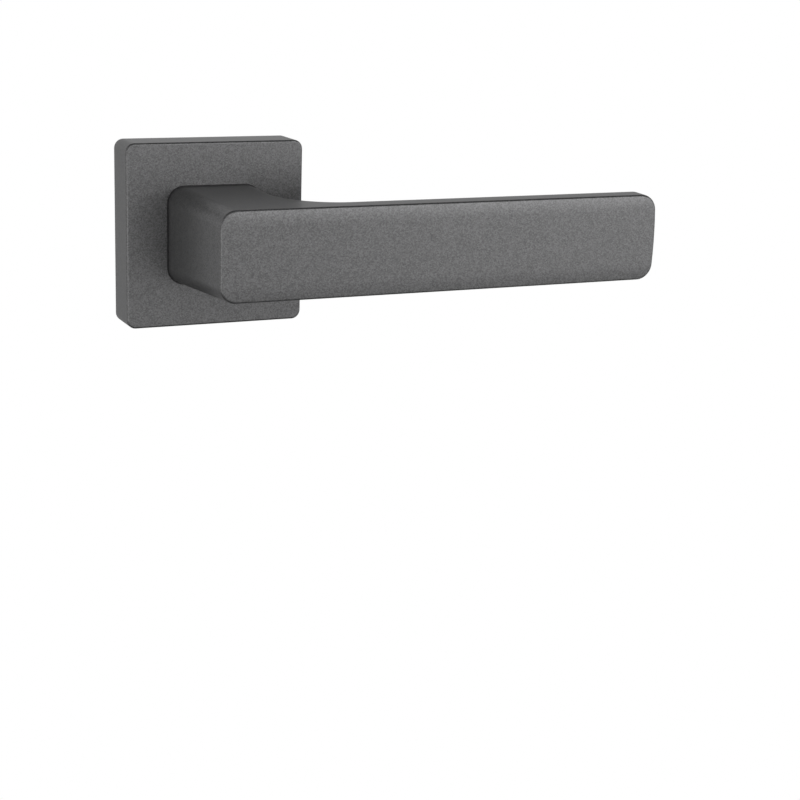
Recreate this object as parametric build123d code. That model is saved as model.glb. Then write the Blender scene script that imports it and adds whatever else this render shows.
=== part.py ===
from build123d import *
import os
from math import cos, radians, sin

# Door lever handle on a square rose.
# X runs along the lever, Y into the door, Z up.
# The origin is on the spindle axis, in the plane of the door face. All sizes are in millimetres.

# Rose
ROSE_SIDE = 52.0
ROSE_DEPTH = 11.5
ROSE_CORNER_R = 2.6
ROSE_EDGE_R = 0.6
COVER_WALL = 1.6
COVER_CLEARANCE = 0.15

# Lever
LEVER_PROJECTION = 48.75
LEVER_REACH = 122.35
FACE_LEFT = 11.45
FACE_HEIGHT = 25.0
SHOULDER_HEIGHT = 4.5
SHOULDER_FALL = 0.28
FOOT_LEFT = 14.0
FOOT_RIGHT = 13.0
FOOT_HEIGHT = 27.4
FOOT_GAP = 0.4
BAR_THICKNESS = 10.0
BEND_R = 15.0
END_BULGE = 0.7
LEVER_CORNER_R = 4.7
LEVER_BACK_R = 4.4
LEVER_FRONT_R = 0.65
JOURNAL_R = 8.0
JOURNAL_LENGTH = 6.3

# Spindle and its grub screw
SPINDLE_SIDE = 8.0
SPINDLE_CHAMFER = 0.5
SPINDLE_BEHIND_DOOR = 46.0
SPINDLE_IN_LEVER = 20.0
SOCKET_CLEARANCE = 0.05
SOCKET_END_GAP = 0.4
GRUB_R = 3.0
GRUB_LENGTH = 7.5
GRUB_KEY = 3.0
GRUB_KEY_DEPTH = 3.4
GRUB_FROM_FOOT = 10.0
THREAD_CLEARANCE = 0.03

# Neck bush and wear ring
RUNNING_CLEARANCE = 0.05
BUSH_WALL = 1.0
BUSH_FLANGE_R = 12.0
BUSH_FLANGE_GAP = 0.08
SEAT_CLEARANCE = 0.03
WEAR_RING_THICKNESS = 0.4

# Driver, thrust washer and retaining ring
DRIVER_R = 14.0
DRIVER_THICKNESS = 1.5
DRIVER_BOSS = 1.4
LUG_WIDTH = 7.0
LUG_TIP_R = 18.4
LUG_CLEARANCE = 0.15
LEVER_TRAVEL = 45.0
WINDOW_R = 10.9
WINDOW_WIDTH = 2.6
WINDOW_SPAN = 40.0
WASHER_R = 13.8
WASHER_BORE_R = 9.2
WASHER_THICKNESS = 0.4
RING_THICKNESS = 1.0
RING_BORE_R = 12.6
RING_GROOVE = 0.6
RING_GAP_ANGLE = 44.0
RING_EAR_R = 1.5
RING_EAR_HOLE_R = 0.6
RING_FROM_DOOR = 0.9

# Return spring
WIRE_R = 0.7
SPRING_R = 12.5
SPRING_PITCH = 1.5
SPRING_TURNS = 2.125
SPRING_START_ANGLE = 225.0
SPRING_LEG = 4.3
WIRE_CLEARANCE = 0.05
LEG_HOLE_CLEARANCE = 0.15

# Base plate
BASE_FLOOR = 1.0
BASE_FRONT_GAP = 0.2
BASE_CORNER_R = 1.3
HUB_R = 10.9
POCKET_CLEARANCE = 0.3
POCKET_CORNER_R = 1.0
POCKET_DEPTH = 8.0
POCKET_WALL = 2.1
CENTRE_RIB = 2.4
BORE_WALL = 0.4

# Fixing screws and support posts
SCREW_INSET = 5.85
SCREW_R = 1.75
SCREW_CORE_R = 1.25
SCREW_HEAD_R = 3.5
SCREW_HEAD_DEPTH = 1.9
SCREW_BEHIND_DOOR = 14.0
SCREW_PLAIN_BEHIND_DOOR = 2.0
SCREW_POINT = 3.0
SCREW_HOLE_CLEARANCE = 0.15
CROSS_LENGTH = 3.6
CROSS_WIDTH = 0.9
CROSS_DEPTH = 1.3
POST_PITCH = 38.0
POST_R = 3.5
POST_LENGTH = 8.0
POST_ROOT_R = 2.9
POST_ROOT = 6.0
POST_SHOULDER = 0.08
POST_THREAD_R = 2.0
POST_THREAD_LENGTH = 6.0
POST_CHAMFER = 0.4

# Cover clips
CLIP_X = 11.0
CLIP_WIDTH = 6.0
CLIP_THICKNESS = 0.4
CLIP_SPAN = 6.4
CLIP_SEAT_DEPTH = 1.5
CLIP_CATCH = 0.35
CLIP_SIDE_CLEARANCE = 0.2
CATCH_CLEARANCE = 0.15
CATCH_LENGTH = 34.0

# Planes and sizes that follow from these, from the front to the door face
FOOT_Y = -(ROSE_DEPTH + FOOT_GAP)
FACE_Y = -LEVER_PROJECTION
BAR_BACK_Y = FACE_Y + BAR_THICKNESS
COVER_INNER_Y = -(ROSE_DEPTH - COVER_WALL)
BASE_FRONT_Y = COVER_INNER_Y + BASE_FRONT_GAP
POCKET_FLOOR_Y = BASE_FRONT_Y + BASE_FLOOR
RING_REAR_Y = -RING_FROM_DOOR
RING_FRONT_Y = RING_REAR_Y - RING_THICKNESS
WASHER_REAR_Y = RING_FRONT_Y - RUNNING_CLEARANCE
WASHER_FRONT_Y = WASHER_REAR_Y - WASHER_THICKNESS
DRIVER_REAR_Y = WASHER_FRONT_Y - RUNNING_CLEARANCE
DRIVER_FRONT_Y = DRIVER_REAR_Y - DRIVER_THICKNESS
WEAR_RING_REAR_Y = DRIVER_FRONT_Y - RUNNING_CLEARANCE
HUB_REAR_Y = WEAR_RING_REAR_Y - WEAR_RING_THICKNESS
JOURNAL_END_Y = FOOT_Y + JOURNAL_LENGTH
SOCKET_SIDE = SPINDLE_SIDE + 2 * SOCKET_CLEARANCE
SPINDLE_FRONT_Y = FOOT_Y - SPINDLE_IN_LEVER
SOCKET_FRONT_Y = SPINDLE_FRONT_Y - SOCKET_END_GAP
BUSH_BORE_R = JOURNAL_R + RUNNING_CLEARANCE
BUSH_R = BUSH_BORE_R + BUSH_WALL
HUB_BORE_R = BUSH_R + SEAT_CLEARANCE
CAVITY_SIDE = ROSE_SIDE - 2 * COVER_WALL
BASE_SIDE = CAVITY_SIDE - 2 * COVER_CLEARANCE
POCKET_R = DRIVER_R + POCKET_CLEARANCE
GROOVE_R = POCKET_R + RING_GROOVE
RING_R = GROOVE_R - WIRE_CLEARANCE
SPRING_FRONT_Y = POCKET_FLOOR_Y + WIRE_CLEARANCE + WIRE_R
SPRING_HEIGHT = SPRING_PITCH * SPRING_TURNS
SPRING_END_ANGLE = SPRING_START_ANGLE - 360.0 * SPRING_TURNS
CLIP_SEAT_Z = BASE_SIDE / 2 - CLIP_SEAT_DEPTH
CLIP_TOP_Z = CAVITY_SIDE / 2 + CLIP_CATCH
CLIP_Y = BASE_FRONT_Y / 2
SCREW_FROM_AXIS = BASE_SIDE / 2 - SCREW_INSET
LUG_REST_ANGLE = 90.0 + LEVER_TRAVEL / 2
LUG_END_ANGLE = 90.0 - LEVER_TRAVEL / 2


def block(x0, x1, y0, y1, z0, z1):
    """A box between two corners."""
    centre = Pos((x0 + x1) / 2, (y0 + y1) / 2, (z0 + z1) / 2)
    return centre * Box(x1 - x0, y1 - y0, z1 - z0)


def slab(sketch, y0, y1):
    """A sketch of X and Z, given thickness from y0 to y1."""
    return extrude(Plane.XZ.offset(-y1) * sketch, amount=y1 - y0)


def rod(radius, y0, y1, x=0.0, z=0.0):
    """A round bar along Y."""
    return slab(Pos(x, z) * Circle(radius), y0, y1)


def turned(*points):
    """A solid of revolution about Y, from points of radius and Y."""
    return revolve(make_face(Polyline(*points, close=True)), Axis.Y)


def at_angle(angle, solid):
    """Turn a solid about Y, so that its +X side faces an angle from +X towards +Z."""
    return Rot(0, -angle, 0) * solid


def lever_form():
    """The cast lever: a drafted neck that bends into a bar with soft shoulders and a softened back."""
    bend_centre = (FOOT_RIGHT + BEND_R, BAR_BACK_Y + BEND_R)
    bend_middle = (bend_centre[0] - BEND_R * sin(radians(45)), bend_centre[1] - BEND_R * sin(radians(45)))
    past_end = LEVER_REACH + END_BULGE
    bend_on_bar = (bend_centre[0], BAR_BACK_Y)
    bend_on_neck = (FOOT_RIGHT, bend_centre[1])
    outline = [
        Polyline(
            bend_on_neck,
            (FOOT_RIGHT, FOOT_Y),
            (-FOOT_LEFT, FOOT_Y),
            (-FACE_LEFT, FACE_Y),
            (past_end, FACE_Y),
            (past_end, BAR_BACK_Y),
            bend_on_bar,
        ),
        ThreePointArc(bend_on_bar, bend_middle, bend_on_neck),
    ]
    from_above = extrude(make_face(outline), amount=FOOT_HEIGHT, both=True)

    face_half = FACE_HEIGHT / 2
    flat_half = face_half - SHOULDER_HEIGHT
    upper_edge = (FACE_Y + SHOULDER_FALL, face_half)
    lower_edge = (FACE_Y + SHOULDER_FALL, -face_half)
    drafted = [
        Polyline(upper_edge, (FOOT_Y, FOOT_HEIGHT / 2), (FOOT_Y, -FOOT_HEIGHT / 2), lower_edge),
        TangentArc((FACE_Y, -flat_half), lower_edge, tangent=(0, -1)),
        Line((FACE_Y, -flat_half), (FACE_Y, flat_half)),
        TangentArc((FACE_Y, flat_half), upper_edge, tangent=(0, 1)),
    ]
    side_start = Plane.YZ.offset(-2 * FOOT_LEFT)
    from_side = extrude(side_start * make_face(drafted), amount=2 * FOOT_LEFT + 2 * past_end)

    half = FOOT_HEIGHT / 2
    end_arc = ThreePointArc((LEVER_REACH - END_BULGE, -half), (LEVER_REACH, 0), (LEVER_REACH - END_BULGE, half))
    left = -2 * FOOT_LEFT
    front_outline = [end_arc, Polyline(end_arc @ 1, (left, half), (left, -half), end_arc @ 0)]
    from_front = slab(make_face(front_outline), 2 * FACE_Y, 0)

    form = from_above & from_side & from_front
    corners = [
        edge
        for edge in form.edges()
        if abs((edge % 0.5).Y) > 0.9
        and abs(edge.center().Z) > FACE_HEIGHT / 4
        and not 0 < edge.center().X < LEVER_REACH - LEVER_CORNER_R
        and edge.center().X != FOOT_RIGHT
    ]
    form = fillet(corners, LEVER_CORNER_R)

    inner_faces = [
        face
        for face in form.faces()
        if face.center().Y > FACE_Y + BAR_THICKNESS / 2
        and face.center().X > FOOT_RIGHT / 2
        and abs(face.center().Z) < FACE_HEIGHT / 8
        and face.center().X < LEVER_REACH - LEVER_CORNER_R
    ]
    back_edges = {}
    for face in inner_faces:
        for edge in face.edges():
            middle = edge @ 0.5
            across = abs(middle.Z) < FACE_HEIGHT / 8 and middle.X < bend_centre[0] + LEVER_CORNER_R
            if not across:
                back_edges[(round(middle.X, 3), round(middle.Y, 3), round(middle.Z, 3))] = edge
    form = fillet(list(back_edges.values()), LEVER_BACK_R)

    front_faces = [face for face in form.faces() if face.center().Y < FACE_Y + SHOULDER_FALL]
    seams = {}
    for face in front_faces:
        for edge in face.edges():
            middle = edge @ 0.5
            seams.setdefault((round(middle.X, 3), round(middle.Y, 3), round(middle.Z, 3)), []).append(edge)
    rim = [edges[0] for edges in seams.values() if len(edges) == 1]
    return fillet(rim, LEVER_FRONT_R)


def make_lever():
    """The lever with its journal, spindle socket and grub screw hole."""
    lever = lever_form() + rod(JOURNAL_R, FOOT_Y - 1.0, JOURNAL_END_Y)
    half = SOCKET_SIDE / 2
    lever -= block(-half, half, SOCKET_FRONT_Y, JOURNAL_END_Y, -half, half)
    grub_y = FOOT_Y - GRUB_FROM_FOOT
    hole_length = FOOT_HEIGHT / 2
    lever -= Pos(0, grub_y, -hole_length / 2) * Cylinder(GRUB_R + THREAD_CLEARANCE, hole_length)
    return lever


def make_spindle():
    half = SPINDLE_SIDE / 2
    bar = block(-half, half, SPINDLE_FRONT_Y, SPINDLE_BEHIND_DOOR, -half, half)
    ends = bar.faces().filter_by(Axis.Y)
    return chamfer([edge for face in ends for edge in face.edges()], SPINDLE_CHAMFER)


def make_grub_screw():
    """A headless screw under the neck, which holds the lever on the spindle."""
    top = -SPINDLE_SIDE / 2
    screw = Cylinder(GRUB_R, GRUB_LENGTH)
    screw = chamfer(screw.edges().filter_by(GeomType.CIRCLE), GRUB_R / 5)
    key = extrude(RegularPolygon(GRUB_KEY / 2, 6, major_radius=False), amount=GRUB_KEY_DEPTH)
    screw -= Pos(0, 0, -GRUB_LENGTH / 2) * key
    return Pos(0, FOOT_Y - GRUB_FROM_FOOT, top - GRUB_LENGTH / 2) * screw


def lug(clearance=0.0):
    """The driver's stop lug, which faces +X before it is turned to its place."""
    half = LUG_WIDTH / 2 + clearance
    bar = block(DRIVER_R / 2, LUG_TIP_R + clearance, DRIVER_FRONT_Y, DRIVER_REAR_Y, -half, half)
    return bar & rod(LUG_TIP_R + clearance, DRIVER_FRONT_Y, DRIVER_REAR_Y)


def make_driver():
    """The disc that the spindle turns: it carries the spring's leg and the stop lug."""
    driver = rod(DRIVER_R, DRIVER_FRONT_Y, DRIVER_REAR_Y) + at_angle(LUG_REST_ANGLE, lug())
    driver += rod(JOURNAL_R, DRIVER_FRONT_Y - DRIVER_BOSS, DRIVER_FRONT_Y)
    half = SOCKET_SIDE / 2
    driver -= block(-half, half, DRIVER_FRONT_Y - DRIVER_BOSS, DRIVER_REAR_Y, -half, half)
    leg_hole_r = WIRE_R + LEG_HOLE_CLEARANCE
    driver -= at_angle(SPRING_END_ANGLE, rod(leg_hole_r, DRIVER_FRONT_Y, DRIVER_REAR_Y, x=SPRING_R))
    for angle in (0.0, -60.0, -120.0):
        arc = CenterArc((0, 0), WINDOW_R, angle - WINDOW_SPAN / 2, WINDOW_SPAN)
        driver -= slab(SlotArc(arc, WINDOW_WIDTH), DRIVER_FRONT_Y, DRIVER_REAR_Y)
    return driver


def make_rose_cover():
    """The square pressed cover, open at the back, with a catch groove inside its top and bottom walls."""
    half = ROSE_SIDE / 2
    cover = block(-half, half, -ROSE_DEPTH, 0, -half, half)
    cover = fillet(cover.edges().filter_by(Axis.Y), ROSE_CORNER_R)
    cover = fillet(cover.faces().sort_by(Axis.Y)[0].edges(), ROSE_EDGE_R)
    inner_r = max(ROSE_CORNER_R - COVER_WALL, ROSE_EDGE_R)
    cover -= slab(RectangleRounded(CAVITY_SIDE, CAVITY_SIDE, inner_r), COVER_INNER_Y, 0)
    cover -= rod(BUSH_R + COVER_CLEARANCE, -ROSE_DEPTH, COVER_INNER_Y)
    depth = CLIP_CATCH + CATCH_CLEARANCE
    half_width = CLIP_SPAN / 3
    groove_r = (half_width**2 + depth**2) / (2 * depth)
    for side in (1, -1):
        groove = Rot(0, 90, 0) * Cylinder(groove_r, CATCH_LENGTH)
        cover -= Pos(0, CLIP_Y, side * (CAVITY_SIDE / 2 + depth - groove_r)) * groove
    return cover


def lightening_pockets():
    """Pockets in the back of the base plate, beside the posts and along its lower edge."""
    screw_side = SCREW_FROM_AXIS - SCREW_HEAD_R - POCKET_WALL
    side_x = (GROOVE_R + BORE_WALL, BASE_SIDE / 2 - POCKET_WALL)
    side_z = (POST_R + POCKET_WALL, screw_side)
    lower_x = (CENTRE_RIB / 2, screw_side)
    lower_z = (-(CLIP_SEAT_Z - POCKET_WALL / 2), -(GROOVE_R + POCKET_WALL))
    areas = [(side_x, side_z), (side_x, (-side_z[1], -side_z[0])), (lower_x, lower_z)]
    pockets = []
    for hand in (-1, 1):
        for (x0, x1), (z0, z1) in areas:
            outline = RectangleRounded(x1 - x0, z1 - z0, POCKET_CORNER_R)
            pockets.append(slab(Pos(hand * (x0 + x1) / 2, (z0 + z1) / 2) * outline, -POCKET_DEPTH, 0))
    return pockets


def stop_window():
    """The opening that the driver's lug swings in: its two ends are the lever's stops."""
    tip = LUG_TIP_R + LUG_CLEARANCE
    spread = [(2 * tip * cos(radians(a)), 2 * tip * sin(radians(a))) for a in (LUG_REST_ANGLE, LUG_END_ANGLE)]
    wedge = make_face(Polyline((0, 0), *spread, close=True))
    window = slab(wedge & Circle(tip), DRIVER_FRONT_Y, 0)
    for angle in (LUG_REST_ANGLE, LUG_END_ANGLE):
        half = LUG_WIDTH / 2 + LUG_CLEARANCE
        end = block(0, tip, DRIVER_FRONT_Y, 0, -half, half) & rod(tip, DRIVER_FRONT_Y, 0)
        window += at_angle(angle, end)
    return Pos(0, -LUG_CLEARANCE, 0) * window + window


def make_base_plate():
    """The moulded plate under the rose, which holds the bush, the spring and the fixings."""
    base = slab(RectangleRounded(BASE_SIDE, BASE_SIDE, BASE_CORNER_R), BASE_FRONT_Y, 0)
    base -= rod(POCKET_R, HUB_REAR_Y, 0)
    base -= rod(POCKET_R, POCKET_FLOOR_Y, HUB_REAR_Y) - rod(HUB_R, POCKET_FLOOR_Y, HUB_REAR_Y)
    base -= rod(HUB_BORE_R, BASE_FRONT_Y, 0)
    base -= stop_window()
    groove_front = RING_FRONT_Y - WIRE_CLEARANCE
    groove_rear = RING_REAR_Y + WIRE_CLEARANCE
    base -= rod(GROOVE_R, groove_front, groove_rear)

    half = WIRE_R + WIRE_CLEARANCE
    leg_end = SPRING_R + SPRING_LEG + LEG_HOLE_CLEARANCE
    slot = block(SPRING_R, leg_end, POCKET_FLOOR_Y, SPRING_FRONT_Y + half, -half, half)
    base -= at_angle(SPRING_START_ANGLE, slot)

    for pocket in lightening_pockets():
        base -= pocket
    for x, z in screw_places():
        base -= Pos(x, 0, z) * screw_hole()
    for x in (-POST_PITCH / 2, POST_PITCH / 2):
        base -= rod(POST_ROOT_R + SEAT_CLEARANCE, -POST_ROOT, 0, x=x)
        base -= rod(POST_R + SEAT_CLEARANCE, -POST_SHOULDER, 0, x=x)
    seat_half = CLIP_WIDTH / 2 + CLIP_SIDE_CLEARANCE
    seat_y = CLIP_SPAN / 2 + CLIP_SIDE_CLEARANCE
    for x, side in clip_places().values():
        z0, z1 = sorted((side * CLIP_SEAT_Z, side * BASE_SIDE))
        base -= block(x - seat_half, x + seat_half, CLIP_Y - seat_y, CLIP_Y + seat_y, z0, z1)
    return base


def make_neck_bush():
    """The flanged bearing bush: its flange keeps the lever's foot off the rose."""
    flange_y = FOOT_Y + BUSH_FLANGE_GAP
    return turned(
        (BUSH_BORE_R, flange_y),
        (BUSH_FLANGE_R, flange_y),
        (BUSH_FLANGE_R, -ROSE_DEPTH),
        (BUSH_R, -ROSE_DEPTH),
        (BUSH_R, HUB_REAR_Y),
        (BUSH_BORE_R, HUB_REAR_Y),
    )


def make_wear_ring():
    return rod(HUB_R, HUB_REAR_Y, WEAR_RING_REAR_Y) - rod(BUSH_BORE_R, HUB_REAR_Y, WEAR_RING_REAR_Y)


def make_thrust_washer():
    washer = rod(WASHER_R, WASHER_FRONT_Y, WASHER_REAR_Y)
    return washer - rod(WASHER_BORE_R, WASHER_FRONT_Y, WASHER_REAR_Y)


def make_retaining_ring():
    """An internal snap ring, with its gap and plier ears in the stop window."""
    reach = 2 * RING_R
    half = RING_GAP_ANGLE / 2
    ends = [(reach * cos(radians(a)), reach * sin(radians(a))) for a in (90 - half, 90 + half)]
    ring = Circle(RING_R) - Circle(RING_BORE_R) - make_face(Polyline((0, 0), *ends, close=True))
    ear_angle = half + 7.0
    for angle in (90 - ear_angle, 90 + ear_angle):
        place = Pos(RING_BORE_R * cos(radians(angle)), RING_BORE_R * sin(radians(angle)))
        ring += place * Circle(RING_EAR_R)
        ring -= place * Circle(RING_EAR_HOLE_R)
    return slab(ring, RING_FRONT_Y, RING_REAR_Y)


def make_return_spring():
    """A torsion coil: its front leg lies in the base plate, its rear leg in the driver."""
    coil = Helix(SPRING_PITCH, SPRING_HEIGHT, SPRING_R)
    section = Plane(origin=coil @ 0, z_dir=coil % 0) * Circle(WIRE_R)
    spring = sweep(section, path=coil, is_frenet=True)
    start = coil @ 0
    end = coil @ 1
    driver_leg = DRIVER_REAR_Y - WIRE_CLEARANCE - (SPRING_FRONT_Y + SPRING_HEIGHT)
    spring += Pos(start) * Sphere(WIRE_R)
    spring += Pos(start.X + SPRING_LEG / 2, start.Y, start.Z) * Rot(0, 90, 0) * Cylinder(WIRE_R, SPRING_LEG)
    spring += Pos(end) * Sphere(WIRE_R)
    spring += Pos(end.X, end.Y, end.Z + driver_leg / 2) * Cylinder(WIRE_R, driver_leg)
    return Pos(0, SPRING_FRONT_Y, 0) * at_angle(SPRING_START_ANGLE, Rot(-90, 0, 0) * spring)


def clip_places():
    """Each cover clip's place along X, and whether it is on the top or the bottom side."""
    sides = {"top": 1, "bottom": -1}
    ends = {"left": -CLIP_X, "right": CLIP_X}
    return {f"{side}_{end}": (x, sign) for side, sign in sides.items() for end, x in ends.items()}


def make_cover_clip(x, side):
    """An arched leaf spring that sits in the base plate and catches in the cover's groove."""
    half = CLIP_SPAN / 2
    inner_rise = CLIP_TOP_Z - CLIP_THICKNESS
    ends = [(CLIP_Y - half, CLIP_SEAT_Z), (CLIP_Y + half, CLIP_SEAT_Z)]
    tops = [(y, z + CLIP_THICKNESS) for y, z in ends]
    outline = [
        ThreePointArc(ends[0], (CLIP_Y, inner_rise), ends[1]),
        Line(ends[1], tops[1]),
        ThreePointArc(tops[1], (CLIP_Y, CLIP_TOP_Z), tops[0]),
        Line(tops[0], ends[0]),
    ]
    leaf = extrude(Plane.YZ.offset(x) * make_face(outline), amount=CLIP_WIDTH / 2, both=True)
    return leaf if side > 0 else mirror(leaf, Plane.XY)


def screw_places():
    far = SCREW_FROM_AXIS
    return [(x, z) for z in (far, -far) for x in (-far, far)]


def screw_hole():
    """A countersunk hole through the base plate."""
    hole_r = SCREW_R + SCREW_HOLE_CLEARANCE
    head_r = SCREW_HEAD_R + SCREW_HOLE_CLEARANCE
    cone_end = BASE_FRONT_Y + SCREW_HEAD_DEPTH
    return turned((0, BASE_FRONT_Y), (head_r, BASE_FRONT_Y), (hole_r, cone_end), (hole_r, 0), (0, 0))


def make_fixing_screw(x, z):
    """A countersunk wood screw with a cross recess."""
    plain_end = SCREW_PLAIN_BEHIND_DOOR
    screw = turned(
        (0, BASE_FRONT_Y),
        (SCREW_HEAD_R, BASE_FRONT_Y),
        (SCREW_R, BASE_FRONT_Y + SCREW_HEAD_DEPTH),
        (SCREW_R, plain_end),
        (SCREW_CORE_R, plain_end + SCREW_R - SCREW_CORE_R),
        (SCREW_CORE_R, SCREW_BEHIND_DOOR - SCREW_POINT),
        (0, SCREW_BEHIND_DOOR),
    )
    long, short = CROSS_LENGTH / 2, CROSS_WIDTH / 2
    recess_end = BASE_FRONT_Y + CROSS_DEPTH
    screw -= block(-long, long, BASE_FRONT_Y, recess_end, -short, short)
    screw -= block(-short, short, BASE_FRONT_Y, recess_end, -long, long)
    return Pos(x, 0, z) * screw


def make_support_post(x):
    """A steel post that locates the rose in the door, with a threaded end for the far side's sleeve."""
    end = POST_LENGTH + POST_THREAD_LENGTH
    post = turned(
        (0, -POST_ROOT),
        (POST_ROOT_R, -POST_ROOT),
        (POST_ROOT_R, -POST_SHOULDER),
        (POST_R, -POST_SHOULDER),
        (POST_R, POST_LENGTH - POST_CHAMFER),
        (POST_R - POST_CHAMFER, POST_LENGTH),
        (POST_THREAD_R, POST_LENGTH),
        (POST_THREAD_R, end - POST_CHAMFER),
        (POST_THREAD_R - POST_CHAMFER, end),
        (0, end),
    )
    return Pos(x, 0, 0) * post


def all_parts():
    parts = {
        "lever": make_lever(),
        "spindle": make_spindle(),
        "grub_screw": make_grub_screw(),
        "driver": make_driver(),
        "rose_cover": make_rose_cover(),
        "base_plate": make_base_plate(),
        "neck_bush": make_neck_bush(),
        "wear_ring": make_wear_ring(),
        "thrust_washer": make_thrust_washer(),
        "retaining_ring": make_retaining_ring(),
        "return_spring": make_return_spring(),
    }
    for place, (x, side) in clip_places().items():
        parts[f"cover_clip_{place}"] = make_cover_clip(x, side)
    for place, (x, z) in zip(clip_places(), screw_places()):
        parts[f"fixing_screw_{place}"] = make_fixing_screw(x, z)
    for place, x in (("left", -POST_PITCH / 2), ("right", POST_PITCH / 2)):
        parts[f"support_post_{place}"] = make_support_post(x)
    return parts


os.makedirs("parts", exist_ok=True)
for node, solid in all_parts().items():
    export_step(solid, f"parts/{node}.step")
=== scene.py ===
"""Looks of a door lever handle on a square rose: finishes, a dark ring painting the shadow line at the
lever's foot, return spring, threads, studio.
"""

import math

import bpy
from mathutils import Matrix, Vector


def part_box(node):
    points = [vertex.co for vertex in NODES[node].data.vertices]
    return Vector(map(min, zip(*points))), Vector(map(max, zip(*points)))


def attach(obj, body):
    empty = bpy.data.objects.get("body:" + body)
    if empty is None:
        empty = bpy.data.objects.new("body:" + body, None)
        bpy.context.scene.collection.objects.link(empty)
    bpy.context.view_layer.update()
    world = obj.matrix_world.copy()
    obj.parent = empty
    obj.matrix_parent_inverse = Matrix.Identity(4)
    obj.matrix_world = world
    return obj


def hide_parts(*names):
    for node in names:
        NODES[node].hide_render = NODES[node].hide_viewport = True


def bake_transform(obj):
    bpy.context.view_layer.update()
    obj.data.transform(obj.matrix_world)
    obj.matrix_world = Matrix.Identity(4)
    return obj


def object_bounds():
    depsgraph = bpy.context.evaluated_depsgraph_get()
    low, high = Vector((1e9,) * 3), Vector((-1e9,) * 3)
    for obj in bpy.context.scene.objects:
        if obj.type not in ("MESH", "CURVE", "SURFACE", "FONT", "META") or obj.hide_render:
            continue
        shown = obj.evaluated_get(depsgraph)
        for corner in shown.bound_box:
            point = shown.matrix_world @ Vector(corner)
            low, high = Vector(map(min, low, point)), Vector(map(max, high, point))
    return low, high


bl_info = {
    "name": "Door Lever Handle",
    "version": (1, 0, 0),
    "blender": (4, 5, 0),
    "location": "3D View > Sidebar > Lever Handle",
    "description": "Finishes the pieces of a door lever handle and sets up a plain studio",
    "category": "Object",
}

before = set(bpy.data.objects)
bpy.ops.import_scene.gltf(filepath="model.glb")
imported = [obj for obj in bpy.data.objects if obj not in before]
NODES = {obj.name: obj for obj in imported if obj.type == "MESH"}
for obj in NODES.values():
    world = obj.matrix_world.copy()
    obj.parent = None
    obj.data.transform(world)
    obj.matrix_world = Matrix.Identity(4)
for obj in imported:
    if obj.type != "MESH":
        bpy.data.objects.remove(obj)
CAD_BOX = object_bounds()
MM = 0.001

SPRING_LOW, SPRING_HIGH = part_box("return_spring")
LEVER_LOW, LEVER_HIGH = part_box("lever")
ROSE_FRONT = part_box("rose_cover")[0].y

# The lever's foot: its gap to the rose, its right side from the spindle, and its corners' radii.
FOOT_GAP = 0.4 * MM
FOOT_RIGHT = 13.0 * MM
FOOT_CORNER_LEFT = 4.7 * MM
FOOT_CORNER_RIGHT = 4.4 * MM
FOOT_CORNER_STEPS = 12

# The return spring's mesh: straight runs in its coil and in each bend, and sides round its wire.
COIL_STEPS = 160
BEND_STEPS = 7
WIRE_SIDES = 20

# The threads' mesh: straight runs in a turn, and sides round the ridge.
TURN_STEPS = 28
RIDGE_SIDES = 4

# A wood screw's tip: the winding's radius there, and the share of the ridge that is left.
TIP_RADIUS = 0.1 * MM
TIP_RIDGE = 0.35

# How many ridge heights go into one pitch of a post's thread.
POST_RIDGES_IN_PITCH = 3

SCREWS = sorted(name for name in NODES if name.startswith("fixing_screw"))
POSTS = sorted(name for name in NODES if name.startswith("support_post"))
CLIPS = sorted(name for name in NODES if name.startswith("cover_clip"))

LACQUERED = ["lever", "rose_cover"]
PLATED = ["driver", "thrust_washer", *SCREWS, *POSTS]
BLACKENED = ["grub_screw", "retaining_ring"]
NATURAL_NYLON = ["neck_bush", "wear_ring"]


class LacquerSettings(bpy.types.PropertyGroup):
    """The satin lacquer on the lever and the rose."""

    tone: bpy.props.FloatVectorProperty(
        name="Tone", description="Colour of the lacquer",
        default=(0.19, 0.19, 0.192), min=0.0, max=1.0, subtype="COLOR",
    )
    sheen: bpy.props.FloatVectorProperty(
        name="Sheen", description="Tint of the light that the lacquer mirrors",
        default=(0.5, 0.5, 0.505), min=0.0, max=1.0, subtype="COLOR",
    )
    metal_share: bpy.props.FloatProperty(
        name="Metal share", description="How much of the lacquer shines as metal",
        default=0.6, subtype="FACTOR",
    )
    flake_contrast: bpy.props.FloatProperty(
        name="Flake contrast", description="How much the fine flakes differ from the tone",
        default=0.45, subtype="FACTOR",
    )
    flake_size: bpy.props.FloatProperty(
        name="Flake size", description="Width of one flake",
        default=0.32 * MM, unit="LENGTH",
    )
    gloss_low: bpy.props.FloatProperty(
        name="Smoothest", description="Roughness of the smoothest flakes",
        default=0.26, subtype="FACTOR",
    )
    gloss_high: bpy.props.FloatProperty(
        name="Roughest", description="Roughness of the roughest flakes",
        default=0.38, subtype="FACTOR",
    )


class ShadowRingSettings(bpy.types.PropertyGroup):
    """A thin dark ring between the lever's foot and the rose: a painted shadow line where the neck meets
    the rose.
    """

    proud: bpy.props.FloatProperty(
        name="Shadow ring edge", description="How far the seal shows round the foot",
        default=0.3 * MM, unit="LENGTH",
    )
    inset: bpy.props.FloatProperty(
        name="Shadow ring inset", description="How far the seal reaches in under the foot",
        default=0.7 * MM, unit="LENGTH",
    )
    thickness: bpy.props.FloatProperty(
        name="Shadow ring thickness", description="Thickness of the seal",
        default=0.25 * MM, unit="LENGTH",
    )


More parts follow.
